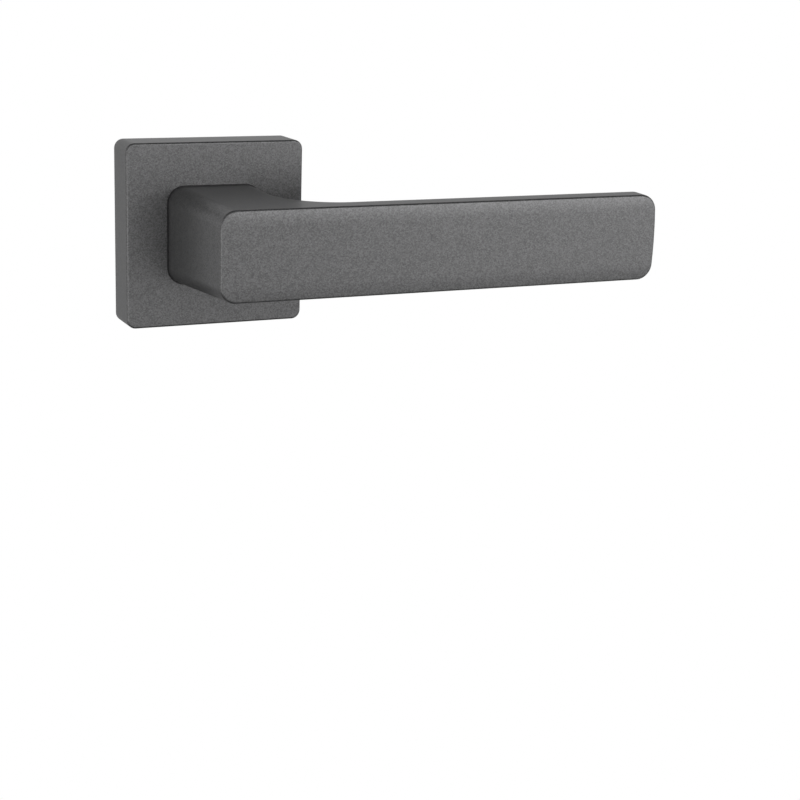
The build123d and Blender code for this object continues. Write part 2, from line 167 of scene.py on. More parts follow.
class SpringSettings(bpy.types.PropertyGroup):
    """The torsion spring that brings the lever back."""

    wire_radius: bpy.props.FloatProperty(
        name="Wire radius", description="Half the thickness of the wire",
        default=0.7 * MM, unit="LENGTH",
    )
    pitch: bpy.props.FloatProperty(
        name="Pitch", description="Advance of one turn",
        default=1.5 * MM, unit="LENGTH",
    )
    turns: bpy.props.FloatProperty(
        name="Turns", description="Number of turns in the coil",
        default=2.125,
    )
    start_angle: bpy.props.FloatProperty(
        name="Start angle", description="Where the fixed leg lies, from the lever's side upwards",
        default=math.radians(225.0), subtype="ANGLE",
    )
    leg: bpy.props.FloatProperty(
        name="Fixed leg", description="Reach of the fixed leg past the coil's wire line",
        default=4.3 * MM, unit="LENGTH",
    )
    bend: bpy.props.FloatProperty(
        name="Leg bend", description="Size of the bend between the coil and a leg",
        default=1.2 * MM, unit="LENGTH",
    )


class ThreadSettings(bpy.types.PropertyGroup):
    """Threads on the wood screws and on the ends of the posts."""

    screw_pitch: bpy.props.FloatProperty(
        name="Screw pitch", description="Advance of one turn of the wood screw",
        default=1.5 * MM, unit="LENGTH",
    )
    screw_core: bpy.props.FloatProperty(
        name="Screw core", description="Radius of the wood screw's core",
        default=1.25 * MM, unit="LENGTH",
    )
    screw_ridge: bpy.props.FloatProperty(
        name="Screw ridge", description="Height of the wood screw's thread over its core",
        default=0.5 * MM, unit="LENGTH",
    )
    screw_point: bpy.props.FloatProperty(
        name="Screw point", description="Length of the wood screw's point",
        default=3.0 * MM, unit="LENGTH",
    )
    screw_length: bpy.props.FloatProperty(
        name="Screw thread", description="Length of the thread on the round core",
        default=8.0 * MM, unit="LENGTH",
    )
    post_pitch: bpy.props.FloatProperty(
        name="Post pitch", description="Advance of one turn on the post's end",
        default=0.7 * MM, unit="LENGTH",
    )
    post_radius: bpy.props.FloatProperty(
        name="Post radius", description="Radius of the post's end under the thread's ridge",
        default=2.0 * MM, unit="LENGTH",
    )
    post_length: bpy.props.FloatProperty(
        name="Post thread", description="Length of the thread on the post",
        default=5.0 * MM, unit="LENGTH",
    )


class StageSettings(bpy.types.PropertyGroup):
    """The studio round the handle."""

    floor_drop: bpy.props.FloatProperty(
        name="Floor drop", description="Height of the handle over the floor",
        default=0.3, unit="LENGTH",
    )
    floor_tone: bpy.props.FloatProperty(
        name="Floor tone", description="Brightness of the floor where metal mirrors it",
        default=0.67,
    )
    shade_tone: bpy.props.FloatProperty(
        name="Shade tone", description="Brightness in metal of the floor right below the handle",
        default=0.02,
    )
    patch_tone: bpy.props.FloatProperty(
        name="Patch tone", description="Added brightness in metal of the floor to the front left",
        default=1.0,
    )
    wall_tone: bpy.props.FloatProperty(
        name="Wall tone", description="Brightness in metal of the walls at the front and the sides",
        default=0.7,
    )
    back_tone: bpy.props.FloatProperty(
        name="Back wall tone", description="Brightness in metal of the wall behind the handle",
        default=0.74,
    )
    ceiling_tone: bpy.props.FloatProperty(
        name="Ceiling tone", description="Brightness of the ceiling where metal mirrors it",
        default=0.02,
    )
    left_tone: bpy.props.FloatProperty(
        name="Left panel tone", description="Brightness in metal of the raised panel to the front left",
        default=0.85,
    )
    panel_tone: bpy.props.FloatProperty(
        name="Right panel tone", description="Brightness in metal of the wide panel to the front right",
        default=1.95,
    )
    fill_tone: bpy.props.FloatProperty(
        name="Fill tone", description="Even light from all sides on surfaces that aren't mirrors",
        default=0.4,
    )
    key_power: bpy.props.FloatProperty(
        name="Key power", description="Power of the softbox to the front right",
        default=0.27, subtype="POWER",
    )


SETTINGS = {
    "lever_lacquer": LacquerSettings,
    "lever_seal": ShadowRingSettings,
    "lever_spring": SpringSettings,
    "lever_threads": ThreadSettings,
    "lever_stage": StageSettings,
}


def feed(tree, socket, source):
    """Set an input to a value, or wire it from another node's output."""
    if isinstance(source, bpy.types.NodeSocket):
        tree.links.new(source, socket)
    else:
        socket.default_value = source


def add(tree, kind, label="", inputs=None, **properties):
    """A new node in a tree, with its properties set and its inputs fed."""
    node = tree.nodes.new(kind)
    node.label = label
    for name, value in properties.items():
        setattr(node, name, value)
    for socket, source in (inputs or {}).items():
        feed(tree, node.inputs[socket], source)
    return node


def new_group(name, tree_kind, inputs, outputs):
    """An empty node group with named sockets, and its input and output nodes."""
    group = bpy.data.node_groups.new(name, tree_kind)
    for direction, sockets in (("INPUT", inputs), ("OUTPUT", outputs)):
        for socket, kind in sockets.items():
            group.interface.new_socket(socket, in_out=direction, socket_type=kind)
    return group, add(group, "NodeGroupInput"), add(group, "NodeGroupOutput")


# The fine grain: the share of the whole flakes in its value, and the noise between them.
FLAKE_SHARE = 0.55
GRAIN_DETAIL = 3.0
GRAIN_ROUGHNESS = 0.65

# The slow drift: its noise, and the range of it that is spread from none to full.
CLOUD_DETAIL = 2.0
CLOUD_LOW = 0.3
CLOUD_HIGH = 0.7

# Places of a mix node's sockets for colours, whose names its sockets for numbers share.
MIX_COLOUR_A = 6
MIX_COLOUR_B = 7
MIX_COLOUR_OUT = 2


def fine_grain():
    """Shader group: tiny flakes with a value each, and the height of the grain between them."""
    group, given, out = new_group(
        "Fine Grain", "ShaderNodeTree",
        {"Vector": "NodeSocketVector", "Per Metre": "NodeSocketFloat"},
        {"Flake": "NodeSocketFloat", "Height": "NodeSocketFloat"},
    )
    place = {"Vector": given.outputs["Vector"], "Scale": given.outputs["Per Metre"]}
    cells = add(group, "ShaderNodeTexVoronoi", "one colour for each flake", place, feature="F1")
    grain = add(
        group, "ShaderNodeTexNoise", "grain between the flakes",
        {**place, "Detail": GRAIN_DETAIL, "Roughness": GRAIN_ROUGHNESS},
    )
    flake = add(group, "ShaderNodeSeparateColor", "value of the flake", {"Color": cells.outputs["Color"]})
    rest = add(
        group, "ShaderNodeMath", "share of the grain",
        {0: grain.outputs["Fac"], 1: 1.0 - FLAKE_SHARE}, operation="MULTIPLY",
    )
    both = add(
        group, "ShaderNodeMath", "flake and grain",
        {0: flake.outputs["Red"], 1: FLAKE_SHARE, 2: rest.outputs[0]}, operation="MULTIPLY_ADD",
    )
    feed(group, out.inputs["Flake"], both.outputs[0])
    feed(group, out.inputs["Height"], grain.outputs["Fac"])
    return group


def slow_drift():
    """Shader group: a soft mask that changes slowly over a piece, for handling and plating."""
    group, given, out = new_group(
        "Slow Drift", "ShaderNodeTree",
        {"Vector": "NodeSocketVector", "Per Metre": "NodeSocketFloat"},
        {"Mask": "NodeSocketFloat"},
    )
    cloud = add(
        group, "ShaderNodeTexNoise", "soft clouds",
        {
            "Vector": given.outputs["Vector"],
            "Scale": given.outputs["Per Metre"],
            "Detail": CLOUD_DETAIL,
        },
    )
    spread = add(
        group, "ShaderNodeMapRange", "more contrast",
        {"Value": cloud.outputs["Fac"], "From Min": CLOUD_LOW, "From Max": CLOUD_HIGH},
    )
    feed(group, out.inputs["Mask"], spread.outputs["Result"])
    return group


def shared_group(name, maker):
    """A node group that is built once."""
    return bpy.data.node_groups.get(name) or maker()


def grain_group():
    """The fine grain, which every finish uses."""
    return shared_group("Fine Grain", fine_grain)


def drift_group():
    """The slow drift, which the finishes of steel and nylon use."""
    return shared_group("Slow Drift", slow_drift)


class Finish:
    """A material in the making, with its shader and its object coordinates."""

    def __init__(self, name, metallic):
        self.material = bpy.data.materials.new(name)
        self.material.use_nodes = True
        self.tree = self.material.node_tree
        self.shader = self.tree.nodes["Principled BSDF"]
        self.place = add(self.tree, "ShaderNodeTexCoord").outputs["Object"]
        self.give("Metallic", metallic)

    def give(self, socket, source):
        """Feed one of the shader's inputs."""
        feed(self.tree, self.shader.inputs[socket], source)

    def stretched(self, scale):
        """The object coordinates, drawn out along an axis."""
        mapping = add(self.tree, "ShaderNodeMapping", "drawn", {"Vector": self.place, "Scale": scale})
        return mapping.outputs["Vector"]

    def pattern(self, group, per_metre, place):
        """The outputs of a shared group, at a scale of its own."""
        inputs = {"Vector": place, "Per Metre": per_metre}
        return add(self.tree, "ShaderNodeGroup", inputs=inputs, node_tree=group).outputs

    def colour(self, mask, low, high):
        """Base colour between two tones by a mask."""
        mix = add(
            self.tree, "ShaderNodeMix", "tone",
            {"Factor": mask, MIX_COLOUR_A: (*low, 1.0), MIX_COLOUR_B: (*high, 1.0)}, data_type="RGBA",
        )
        self.give("Base Color", mix.outputs[MIX_COLOUR_OUT])

    def roughness(self, mask, low, high):
        """Roughness between two values by a mask."""
        spread = add(
            self.tree, "ShaderNodeMapRange", "gloss",
            {"Value": mask, "To Min": low, "To Max": high},
        )
        self.give("Roughness", spread.outputs["Result"])

    def relief(self, height, strength, depth):
        """Fine relief by a height, too small for the mesh."""
        bump = add(
            self.tree, "ShaderNodeBump", "relief",
            {"Height": height, "Strength": strength, "Distance": depth},
        )
        self.give("Normal", bump.outputs["Normal"])


def satin_lacquer(settings):
    """Satin lacquer with fine metallic flakes."""
    finish = Finish("satin_lacquer", settings.metal_share)
    finish.give("Specular Tint", (*settings.sheen, 1.0))
    grain = finish.pattern(grain_group(), 1.0 / settings.flake_size, finish.place)
    tone = Vector(settings.tone)
    finish.colour(
        grain["Flake"],
        tone * (1.0 - settings.flake_contrast),
        tone * (1.0 + settings.flake_contrast),
    )
    finish.roughness(grain["Flake"], settings.gloss_low, settings.gloss_high)
    finish.relief(grain["Height"], strength=0.25, depth=0.05 * MM)
    return finish.material


def textured(name, metallic, tones, gloss, clouds, grain, strength, depth, stretch=None):
    """A finish with slow clouds in its tone, and a fine grain in its gloss and its relief.

    Clouds and grain are counts per metre, and the grain may be drawn out along an axis.
    """
    finish = Finish(name, metallic)
    drift = finish.pattern(drift_group(), clouds, finish.place)
    grain_place = finish.stretched(stretch) if stretch else finish.place
    fine = finish.pattern(grain_group(), grain, grain_place)
    finish.colour(drift["Mask"], *tones)
    finish.roughness(fine["Flake"], *gloss)
    finish.relief(fine["Height"], strength, depth)
    return finish.material


def drawn_steel():
    """Cold drawn bar with lines along its length."""
    return textured(
        "drawn_steel", metallic=1.0, tones=((0.42, 0.42, 0.43), (0.54, 0.54, 0.54)), gloss=(0.24, 0.46),
        clouds=120.0, grain=6000.0, strength=0.3, depth=0.03 * MM, stretch=(1.0, 0.02, 1.0),
    )


def plated_steel():
    """Zinc plating with a faint cloudy sheen."""
    return textured(
        "plated_steel", metallic=1.0, tones=((0.50, 0.51, 0.54), (0.62, 0.62, 0.60)), gloss=(0.26, 0.42),
        clouds=260.0, grain=5000.0, strength=0.2, depth=0.02 * MM,
    )


def spring_steel():
    """Oiled spring wire and leaf, darker than the plated parts."""
    return textured(
        "spring_steel", metallic=1.0, tones=((0.22, 0.22, 0.23), (0.36, 0.35, 0.34)), gloss=(0.22, 0.36),
        clouds=400.0, grain=7000.0, strength=0.15, depth=0.02 * MM,
    )


def black_steel():
    """Black oxide with rubbed patches."""
    return textured(
        "black_steel", metallic=0.7, tones=((0.03, 0.03, 0.032), (0.075, 0.073, 0.07)), gloss=(0.36, 0.55),
        clouds=500.0, grain=6000.0, strength=0.2, depth=0.02 * MM,
    )


def moulded_nylon(name, tones, gloss):
    """Moulded nylon with a fine spark-eroded texture."""
    return textured(
        name, metallic=0.0, tones=tones, gloss=gloss,
        clouds=90.0, grain=3200.0, strength=0.35, depth=0.06 * MM,
    )


def black_nylon():
    """Nylon of the base plate, and of the dark ring at the lever's foot that paints its shadow line."""
    tones = ((0.018, 0.018, 0.019), (0.03, 0.03, 0.031))
    return moulded_nylon("black_nylon", tones, gloss=(0.47, 0.63))


def natural_nylon():
    """Nylon of the bush and the wear ring."""
    tones = ((0.62, 0.61, 0.56), (0.7, 0.69, 0.65))
    return moulded_nylon("natural_nylon", tones, gloss=(0.37, 0.53))


def dress(names, material):
    """Give CAD pieces a finish."""
    for name in names:
        slots = NODES[name].data.materials
        slots.clear()
        slots.append(material)


def show(thing):
    """Put an object into the scene."""
    bpy.context.scene.collection.objects.link(thing)
    return thing


def mesh_object(name, points, faces=()):
    """An object with a mesh of its own, or with loose points alone."""
    mesh = bpy.data.meshes.new(name)
    mesh.from_pydata(points, [], faces)
    return bpy.data.objects.new(name, mesh)


def foot_outline(grow):
    """Points round the lever's foot as x and z, grown past its edge by a distance."""
    left, right = LEVER_LOW.x - grow, FOOT_RIGHT + grow
    low, high = LEVER_LOW.z - grow, LEVER_HIGH.z + grow
    left_r, right_r = FOOT_CORNER_LEFT + grow, FOOT_CORNER_RIGHT + grow
    corners = [
        (right - right_r, high - right_r, right_r, 0.0),
        (left + left_r, high - left_r, left_r, 90.0),
        (left + left_r, low + left_r, left_r, 180.0),
        (right - right_r, low + right_r, right_r, 270.0),
    ]
    points = []
    for x, z, radius, start in corners:
        for i in range(FOOT_CORNER_STEPS + 1):
            angle = math.radians(start + 90.0 * i / FOOT_CORNER_STEPS)
            points.append((x + radius * math.cos(angle), z + radius * math.sin(angle)))
    return points


def shadow_ring_object(name, settings, material):
    """A flat dark ring under the lever's foot, its edge in sight as a painted shadow line round the foot.
    """
    front = ROSE_FRONT - FOOT_GAP
    rear = front + settings.thickness
    outer, inner = foot_outline(settings.proud), foot_outline(-settings.inset)
    loops = [(outer, front), (outer, rear), (inner, rear), (inner, front)]
    points = [(x, y, z) for loop, y in loops for x, z in loop]
    count = len(outer)
    faces = []
    for wall in range(len(loops)):
        here, there = wall * count, (wall + 1) % len(loops) * count
        for i in range(count):
            following = (i + 1) % count
            faces.append((here + i, there + i, there + following, here + following))
    # The ring's edge round the foot is the painted shadow line between the neck and the rose.
    seal = show(mesh_object(name, points, faces))
    seal.data.materials.append(material)
    return seal


def set_inputs(modifier, values):
    """Set a modifier's inputs, found by their sockets' names, through their identifiers."""
    for item in modifier.node_group.interface.items_tree:
        if item.item_type == "SOCKET" and item.in_out == "INPUT" and item.name in values:
            modifier[item.identifier] = values[item.name]


def grown(name, source, tree, values):
    """Run a node tree on a source object, and keep the result as a plain mesh object."""
    show(source)
    modifier = source.modifiers.new(name, "NODES")
    modifier.node_group = tree
    set_inputs(modifier, values)
    depsgraph = bpy.context.evaluated_depsgraph_get()
    mesh = bpy.data.meshes.new_from_object(source.evaluated_get(depsgraph), depsgraph=depsgraph)
    bpy.data.objects.remove(source)
    mesh.name = name
    return show(bpy.data.objects.new(name, mesh))


def section(tree, label, sides, radius):
    """Geometry nodes: a ring with a number of sides, to be swept along a path."""
    ring = add(
        tree, "GeometryNodeCurvePrimitiveCircle", label,
        {"Resolution": sides, "Radius": radius},
    )
    return ring.outputs["Curve"]


def swept(tree, path, ring):
    """Geometry nodes: a ring swept along a path, with closed ends."""
    inputs = {"Curve": path, "Profile Curve": ring, "Fill Caps": True}
    return add(tree, "GeometryNodeCurveToMesh", inputs=inputs).outputs["Mesh"]


def painted(tree, geometry, finish):
    """Geometry nodes: the end of a tree, a real mesh with a finish."""
    real = add(tree, "GeometryNodeRealizeInstances", inputs={"Geometry": geometry})
    inputs = {"Geometry": real.outputs["Geometry"], "Material": finish}
    return add(tree, "GeometryNodeSetMaterial", inputs=inputs).outputs["Geometry"]


def wire_tree():
    """Geometry nodes: a round wire along a path."""
    tree, given, out = new_group(
        "Wire Along Path", "GeometryNodeTree",
        {"Path": "NodeSocketGeometry", "Wire Radius": "NodeSocketFloat", "Finish": "NodeSocketMaterial"},
        {"Wire": "NodeSocketGeometry"},
    )
    ring = section(tree, "wire's section", WIRE_SIDES, given.outputs["Wire Radius"])
    wire = swept(tree, given.outputs["Path"], ring)
    smooth = add(tree, "GeometryNodeSetShadeSmooth", inputs={"Geometry": wire})
    feed(tree, out.inputs["Wire"], painted(tree, smooth.outputs["Geometry"], given.outputs["Finish"]))
    return tree


def spring_path(settings):
    """Points of the spring, fixed leg, coil and the leg in the driver, and its coil's ends along Y."""
    radius = SPRING_HIGH.x - settings.wire_radius
    front = SPRING_LOW.y + settings.wire_radius
    rear = front + settings.pitch * settings.turns
    lead = settings.bend / radius

    def coil(turned):
        """The point of the coil after an angle."""
        angle = settings.start_angle - turned
        y = front + settings.pitch * turned / math.tau
        return Vector((radius * math.cos(angle), y, radius * math.sin(angle)))

    def bend(before, corner, after):
        """Points of a soft bend in place of a corner."""
        for i in range(BEND_STEPS):
            t = (i + 0.5) / BEND_STEPS
            yield before.lerp(corner, t).lerp(corner.lerp(after, t), t)

    outward = Vector((math.cos(settings.start_angle), 0.0, math.sin(settings.start_angle)))
    first, last = coil(0.0), coil(math.tau * settings.turns)
    points = [first + outward * settings.leg, first + outward * settings.bend]
    points += bend(points[-1], first, coil(lead))
    span = math.tau * settings.turns - 2 * lead
    points += [coil(lead + span * i / COIL_STEPS) for i in range(COIL_STEPS + 1)]
    into_driver = last + Vector((0.0, settings.bend, 0.0))
    points += bend(points[-1], last, into_driver)
    points += [into_driver, Vector((last.x, SPRING_HIGH.y, last.z))]
    return points, front, rear


def path_object(name, points):
    """A curve object with one spline of straight runs."""
    curve = bpy.data.curves.new(name, "CURVE")
    curve.dimensions = "3D"
    spline = curve.splines.new("POLY")
    spline.points.add(len(points) - 1)
    for point, place in zip(spline.points, points):
        point.co = (*place, 1.0)
    return bpy.data.objects.new(name, curve)


def thread_tree():
    """Geometry nodes: a screw thread at each place, along Y, with a tapered point if it has a length."""
    numbers = ["Radius", "Ridge", "Pitch", "Length", "Point"]
    tree, given, out = new_group(
        "Screw Thread", "GeometryNodeTree",
        {
            "Places": "NodeSocketGeometry",
            **dict.fromkeys(numbers, "NodeSocketFloat"),
            "Finish": "NodeSocketMaterial",
        },
        {"Threads": "NodeSocketGeometry"},
    )
    size = given.outputs
    ridge = section(tree, "ridge of the thread", RIDGE_SIDES, size["Ridge"])

    def winding(length, end_radius):
        """A path that winds up along Z."""
        turns = add(tree, "ShaderNodeMath", "turns", {0: length, 1: size["Pitch"]}, operation="DIVIDE")
        spiral = add(
            tree, "GeometryNodeCurveSpiral", "winding",
            {
                "Resolution": TURN_STEPS,
                "Rotations": turns.outputs[0],
                "Start Radius": size["Radius"],
                "End Radius": end_radius,
                "Height": length,
            },
        )
        inputs = {"Curve": spiral.outputs["Curve"]}
        return add(tree, "GeometryNodeSetCurveNormal", inputs=inputs, mode="Z_UP").outputs["Curve"]

    straight = swept(tree, winding(size["Length"], size["Radius"]), ridge)

    along = add(tree, "GeometryNodeSplineParameter")
    shrink = add(
        tree, "ShaderNodeMapRange", "ridge runs out",
        {"Value": along.outputs["Factor"], "To Min": 1.0, "To Max": TIP_RIDGE},
    )
    tapered = add(
        tree, "GeometryNodeSetCurveRadius", "point",
        {"Curve": winding(size["Point"], TIP_RADIUS), "Radius": shrink.outputs["Result"]},
    )
    point = swept(tree, tapered.outputs["Curve"], ridge)
    lift = add(tree, "ShaderNodeCombineXYZ", "start of the point", {"Z": size["Length"]})
    lifted = add(
        tree, "GeometryNodeTransform", "point after the straight part",
        {"Geometry": point, "Translation": lift.outputs["Vector"]},
    )
    pointed = add(
        tree, "FunctionNodeCompare", "has a point",
        {"A": size["Point"]}, data_type="FLOAT", operation="GREATER_THAN",
    )
    chosen = add(
        tree, "GeometryNodeSwitch", "point or none",
        {"Switch": pointed.outputs["Result"], "True": lifted.outputs["Geometry"]}, input_type="GEOMETRY",
    )
    whole = add(tree, "GeometryNodeJoinGeometry", "whole thread")
    for part in (straight, chosen.outputs["Output"]):
        feed(tree, whole.inputs["Geometry"], part)

    upright_to_y = (-math.pi / 2, 0.0, 0.0)
    repeat = add(
        tree, "GeometryNodeInstanceOnPoints", "one at each place",
        {"Points": size["Places"], "Instance": whole.outputs["Geometry"], "Rotation": upright_to_y},
    )
    feed(tree, out.inputs["Threads"], painted(tree, repeat.outputs["Instances"], size["Finish"]))
    return tree


def thread_starts(names, length_behind):
    """Where a thread starts on each piece: on its own axis, a length before its end."""
    starts = []
    for name in names:
        low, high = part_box(name)
        middle = (low + high) / 2
        starts.append((middle.x, high.y - length_behind, middle.z))
    return starts


def add_piece(piece, body):
    """Fix a piece to a body."""
    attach(piece, body)


class HANDLE_OT_lacquer(bpy.types.Operator):
    """Lacquer the lever and the rose cover"""

    bl_idname = "lever_handle.lacquer"
    bl_label = "Lacquer lever and rose"

    def execute(self, context):
        dress(LACQUERED, satin_lacquer(context.scene.lever_lacquer))
        return {"FINISHED"}


class HANDLE_OT_metal(bpy.types.Operator):
    """Finish the spindle, driver, washer, snap ring, clips, screws and posts"""

    bl_idname = "lever_handle.metal"
    bl_label = "Finish steel pieces"

    def execute(self, context):
        dress(["spindle"], drawn_steel())
        dress(PLATED, plated_steel())
        dress(CLIPS, spring_steel())
        dress(BLACKENED, black_steel())
        return {"FINISHED"}


class HANDLE_OT_nylon(bpy.types.Operator):
    """Finish the base plate, the bush and the wear ring"""

    bl_idname = "lever_handle.nylon"
    bl_label = "Finish moulded pieces"

    def execute(self, context):
        dress(["base_plate"], black_nylon())
        dress(NATURAL_NYLON, natural_nylon())
        return {"FINISHED"}


class HANDLE_OT_shadow_ring(bpy.types.Operator):
    """Lay a dark ring between the lever's foot and the rose, as a painted shadow line"""

    bl_idname = "lever_handle.seal"
    bl_label = "Lay foot seal"

    def execute(self, context):
        # A black ring whose edge paints the shadow line where the neck meets the rose.
        seal = shadow_ring_object("foot_shadow_ring", context.scene.lever_seal, bpy.data.materials["black_nylon"])
        add_piece(seal, "handle")
        return {"FINISHED"}


class HANDLE_OT_spring(bpy.types.Operator):
    """Wind the return spring"""

    bl_idname = "lever_handle.spring"
    bl_label = "Wind return spring"

    def execute(self, context):
        settings = context.scene.lever_spring
        points, front, rear = spring_path(settings)
        values = {"Wire Radius": settings.wire_radius, "Finish": bpy.data.materials["spring_steel"]}
        coil = grown("return_spring_coil", path_object("spring_path", points), wire_tree(), values)
        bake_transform(coil)
        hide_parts("return_spring")
        return {"FINISHED"}


class HANDLE_OT_threads(bpy.types.Operator):
    """Put threads on the wood screws and the posts"""

    bl_idname = "lever_handle.threads"
    bl_label = "Thread screws and posts"

    def execute(self, context):
        settings = context.scene.lever_threads
        tree = thread_tree()
        finish = bpy.data.materials["plated_steel"]
        screws = {
            "Radius": settings.screw_core, "Ridge": settings.screw_ridge, "Pitch": settings.screw_pitch,
            "Length": settings.screw_length, "Point": settings.screw_point, "Finish": finish,
        }
        screw_starts = thread_starts(SCREWS, settings.screw_length + settings.screw_point)
        places = mesh_object("screw_places", screw_starts)
        add_piece(grown("screw_threads", places, tree, screws), "rose")
        post_ridge = settings.post_pitch / POST_RIDGES_IN_PITCH
        posts = {
            "Radius": settings.post_radius, "Ridge": post_ridge, "Pitch": settings.post_pitch,
            "Length": settings.post_length, "Point": 0.0, "Finish": finish,
        }
        post_starts = thread_starts(POSTS, settings.post_length + settings.post_pitch)
        places = mesh_object("post_places", post_starts)
        add_piece(grown("post_threads", places, tree, posts), "rose")
        return {"FINISHED"}


# The camera: angles in degrees, places in metres and the lens in millimetres.
CAMERA_AZIMUTH = -25.11
CAMERA_ELEVATION = 14.71
CAMERA_ROLL = 1.76
CAMERA_TARGET = Vector((0.0551, -0.0200, -0.0510))
CAMERA_DISTANCE = 0.5304
CAMERA_LENS = 79.93
CAMERA_SIGHT = 200.0

# The softbox: its place, the point that it faces and the length of its side, in metres.
SOFTBOX_PLACE = Vector((0.42, -0.55, 0.06))
SOFTBOX_TARGET = Vector((0.04, -0.03, 0.0))
SOFTBOX_SIDE = 0.35

# The floor: half its width, the matt grey that throws soft light back, and its two directions.
FLOOR_REACH = 40.0
FLOOR_GREY = (0.8, 0.8, 0.8, 1.0)
FLOOR_ROUGHNESS = 0.9
ACROSS_FLOOR = (1.0, 1.0, 0.0)

# Distances on the floor over which the shade below the handle clears and the patch comes in.
SHADE_SPAN = (0.1, 0.9)
PATCH_SPAN = (0.3, 1.2)

# The brighter patch of the floor: its way from the handle, and the cosines to it at its edge.
PATCH_ANGLE = math.radians(38.0)
PATCH_WAY = (-math.sin(PATCH_ANGLE), -math.cos(PATCH_ANGLE), 0.0)
PATCH_EDGE = (math.cos(math.radians(27.0)), math.cos(math.radians(10.0)))

# The room that metal mirrors: the way to each part of it from the handle, and the cosines to that
# way between which the part's tone comes in.
BACK_WALL = ((0.0, 1.0, 0.0), (-0.2, 0.4))
CEILING = ((0.0, -0.45, 1.0), (0.3, 0.6))
LEFT_PANEL = ((-0.25, -0.9, 0.35), (0.85, 0.95))
RIGHT_PANEL = ((0.5, -0.86, -0.05), (0.77, 0.93))

WHITE = (1.0, 1.0, 1.0, 1.0)


def make_camera():
    """A camera that looks at the handle from the front left and from above."""
    azimuth = math.radians(CAMERA_AZIMUTH)
    elevation = math.radians(CAMERA_ELEVATION)
    roll = math.radians(CAMERA_ROLL)
    back = Vector((
        math.sin(azimuth) * math.cos(elevation),
        -math.cos(azimuth) * math.cos(elevation),
        math.sin(elevation),
    ))
    level = Vector((math.cos(azimuth), math.sin(azimuth), 0.0))
    upright = back.cross(level)
    right = level * math.cos(roll) + upright * math.sin(roll)
    up = upright * math.cos(roll) - level * math.sin(roll)
    data = bpy.data.cameras.new("camera")
    data.lens = CAMERA_LENS
    data.clip_end = CAMERA_SIGHT
    camera = show(bpy.data.objects.new("camera", data))
    turned = Matrix((right, up, back)).transposed().to_4x4()
    camera.matrix_world = Matrix.Translation(CAMERA_TARGET + back * CAMERA_DISTANCE) @ turned
    bpy.context.scene.camera = camera


def make_softbox(settings):
    """A square lamp to the front right."""
    data = bpy.data.lights.new("right_softbox", "AREA")
    data.size = SOFTBOX_SIDE
    data.energy = settings.key_power
    lamp = show(bpy.data.objects.new("right_softbox", data))
    lamp.location = SOFTBOX_PLACE
    lamp.rotation_euler = (SOFTBOX_TARGET - SOFTBOX_PLACE).to_track_quat("-Z", "Y").to_euler()


def ray_masks(tree):
    """1 for rays straight from the camera, and 1 for those and the ones mirrored or through glass."""
    light = add(tree, "ShaderNodeLightPath").outputs
    straight = light["Is Camera Ray"]
    mirrored = add(
        tree, "ShaderNodeMath", "camera or mirrored",
        {0: straight, 1: light["Is Glossy Ray"]}, operation="MAXIMUM",
    )
    background = add(
        tree, "ShaderNodeMath", "or through glass",
        {0: mirrored.outputs[0], 1: light["Is Transmission Ray"]}, operation="MAXIMUM",
    )
    return straight, background.outputs[0]


def white_to_the_eye(tree, straight, tone):
    """White for rays straight from the camera, and a tone for the rest."""
    inputs = {"Factor": straight, "A": tone, "B": 1.0}
    return add(tree, "ShaderNodeMix", "white to the eye", inputs).outputs["Result"]


def fade(tree, label, value, span, low, high):
    """A tone that goes over to another as a value crosses a span."""
    start, end = span
    inputs = {"Value": value, "From Min": start, "From Max": end, "To Min": low, "To Max": high}
    node = add(tree, "ShaderNodeMapRange", label, inputs, interpolation_type="SMOOTHSTEP")
    return node.outputs["Result"]


def lean(tree, label, direction, way):
    """The cosine between a direction and a way."""
    inputs = {0: direction, 1: Vector(way).normalized()}
    return add(tree, "ShaderNodeVectorMath", label, inputs, operation="DOT_PRODUCT").outputs["Value"]


def make_floor(settings):
    """A wide floor: white to the eye, and in metal a soft tone with a shade right below the handle."""
    z = CAD_BOX[0].z - settings.floor_drop
    corners = [(x * FLOOR_REACH, y * FLOOR_REACH, z) for x, y in ((-1, -1), (1, -1), (1, 1), (-1, 1))]
    floor = show(mesh_object("floor", corners, [(0, 1, 2, 3)]))
    material = bpy.data.materials.new("floor")
    material.use_nodes = True
    tree = material.node_tree
    plain = tree.nodes["Principled BSDF"]
    feed(tree, plain.inputs["Base Color"], FLOOR_GREY)
    feed(tree, plain.inputs["Roughness"], FLOOR_ROUGHNESS)

    place = add(tree, "ShaderNodeTexCoord").outputs["Object"]
    away = add(
        tree, "ShaderNodeVectorMath", "place on the floor",
        {0: place, 1: ACROSS_FLOOR}, operation="MULTIPLY",
    ).outputs["Vector"]
    distance = add(
        tree, "ShaderNodeVectorMath", "distance on the floor",
        {0: away}, operation="LENGTH",
    ).outputs["Value"]
    heading = add(
        tree, "ShaderNodeVectorMath", "direction on the floor",
        {0: away}, operation="NORMALIZE",
    ).outputs["Vector"]
    towards = lean(tree, "towards the front left", heading, PATCH_WAY)
    shade, clear = settings.shade_tone, settings.floor_tone
    shaded = fade(tree, "darker right below", distance, SHADE_SPAN, shade, clear)
    patch = fade(tree, "brighter further out", distance, PATCH_SPAN, 0.0, settings.patch_tone)
    side = fade(tree, "to the front left", towards, PATCH_EDGE, 0.0, 1.0)
    tone = add(
        tree, "ShaderNodeMath", "floor in metal",
        {0: patch, 1: side, 2: shaded}, operation="MULTIPLY_ADD",
    ).outputs[0]

    straight, background = ray_masks(tree)
    glow = add(tree, "ShaderNodeEmission", inputs={"Strength": white_to_the_eye(tree, straight, tone)})
    mix = add(
        tree, "ShaderNodeMixShader", "background or plain",
        {"Fac": background, 1: plain.outputs["BSDF"], 2: glow.outputs["Emission"]},
    )
    feed(tree, tree.nodes["Material Output"].inputs["Surface"], mix.outputs["Shader"])
    floor.data.materials.append(material)


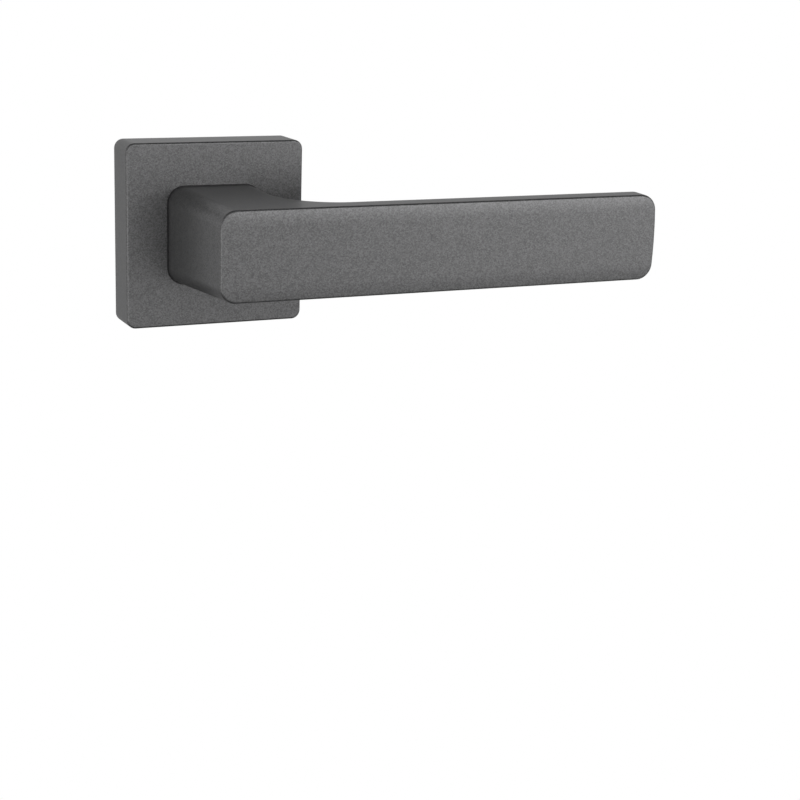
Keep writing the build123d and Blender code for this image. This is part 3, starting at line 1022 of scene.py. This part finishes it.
def make_world(settings):
    """White to the eye, and in metal a room of walls, with a dark ceiling and two panels at the front."""
    world = bpy.data.worlds.new("studio")
    bpy.context.scene.world = world
    world.use_nodes = True
    tree = world.node_tree
    direction = add(tree, "ShaderNodeTexCoord").outputs["Generated"]
    tone = settings.wall_tone
    for label, (way, span), part_tone in (
        ("back wall", BACK_WALL, settings.back_tone),
        ("ceiling, leaning to the front", CEILING, settings.ceiling_tone),
        ("raised panel to the front left", LEFT_PANEL, settings.left_tone),
        ("wide panel to the front right", RIGHT_PANEL, settings.panel_tone),
    ):
        tone = fade(tree, label, lean(tree, label, direction, way), span, tone, part_tone)

    straight, background = ray_masks(tree)
    seen = white_to_the_eye(tree, straight, tone)
    strength = add(
        tree, "ShaderNodeMix", "even fill for the rest",
        {"Factor": background, "A": settings.fill_tone, "B": seen},
    )
    sky = tree.nodes["Background"]
    feed(tree, sky.inputs["Color"], WHITE)
    feed(tree, sky.inputs["Strength"], strength.outputs["Result"])


class HANDLE_OT_stage(bpy.types.Operator):
    """Set up the floor, the light and the camera"""

    bl_idname = "lever_handle.stage"
    bl_label = "Set up studio"

    def execute(self, context):
        settings = context.scene.lever_stage
        make_floor(settings)
        make_world(settings)
        make_softbox(settings)
        make_camera()
        context.scene.view_settings.view_transform = "Standard"
        return {"FINISHED"}


OPERATORS = [
    HANDLE_OT_lacquer,
    HANDLE_OT_metal,
    HANDLE_OT_nylon,
    HANDLE_OT_shadow_ring,
    HANDLE_OT_spring,
    HANDLE_OT_threads,
    HANDLE_OT_stage,
]


class HANDLE_PT_panel(bpy.types.Panel):
    """The handle's sizes, colours and steps"""

    bl_idname = "HANDLE_PT_panel"
    bl_label = "Lever Handle"
    bl_space_type = "VIEW_3D"
    bl_region_type = "UI"
    bl_category = "Lever Handle"

    def draw(self, context):
        for attribute, group in SETTINGS.items():
            box = self.layout.box()
            for name in group.__annotations__:
                box.prop(getattr(context.scene, attribute), name)
        for operator in OPERATORS:
            self.layout.operator(operator.bl_idname)


CLASSES = [*SETTINGS.values(), *OPERATORS, HANDLE_PT_panel]


def register():
    """Make the settings, the operators and the panel known."""
    for cls in CLASSES:
        bpy.utils.register_class(cls)
    for attribute, group in SETTINGS.items():
        setattr(bpy.types.Scene, attribute, bpy.props.PointerProperty(type=group))


def unregister():
    """Take the settings, the operators and the panel away."""
    for attribute in SETTINGS:
        delattr(bpy.types.Scene, attribute)
    for cls in reversed(CLASSES):
        bpy.utils.unregister_class(cls)


def main():
    """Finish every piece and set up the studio."""
    register()
    bpy.ops.lever_handle.lacquer()
    bpy.ops.lever_handle.metal()
    bpy.ops.lever_handle.nylon()
    # Lay the dark ring that paints the shadow line at the lever's foot.
    bpy.ops.lever_handle.seal()
    bpy.ops.lever_handle.spring()
    bpy.ops.lever_handle.threads()
    bpy.ops.lever_handle.stage()


if __name__ == "__main__":
    main()
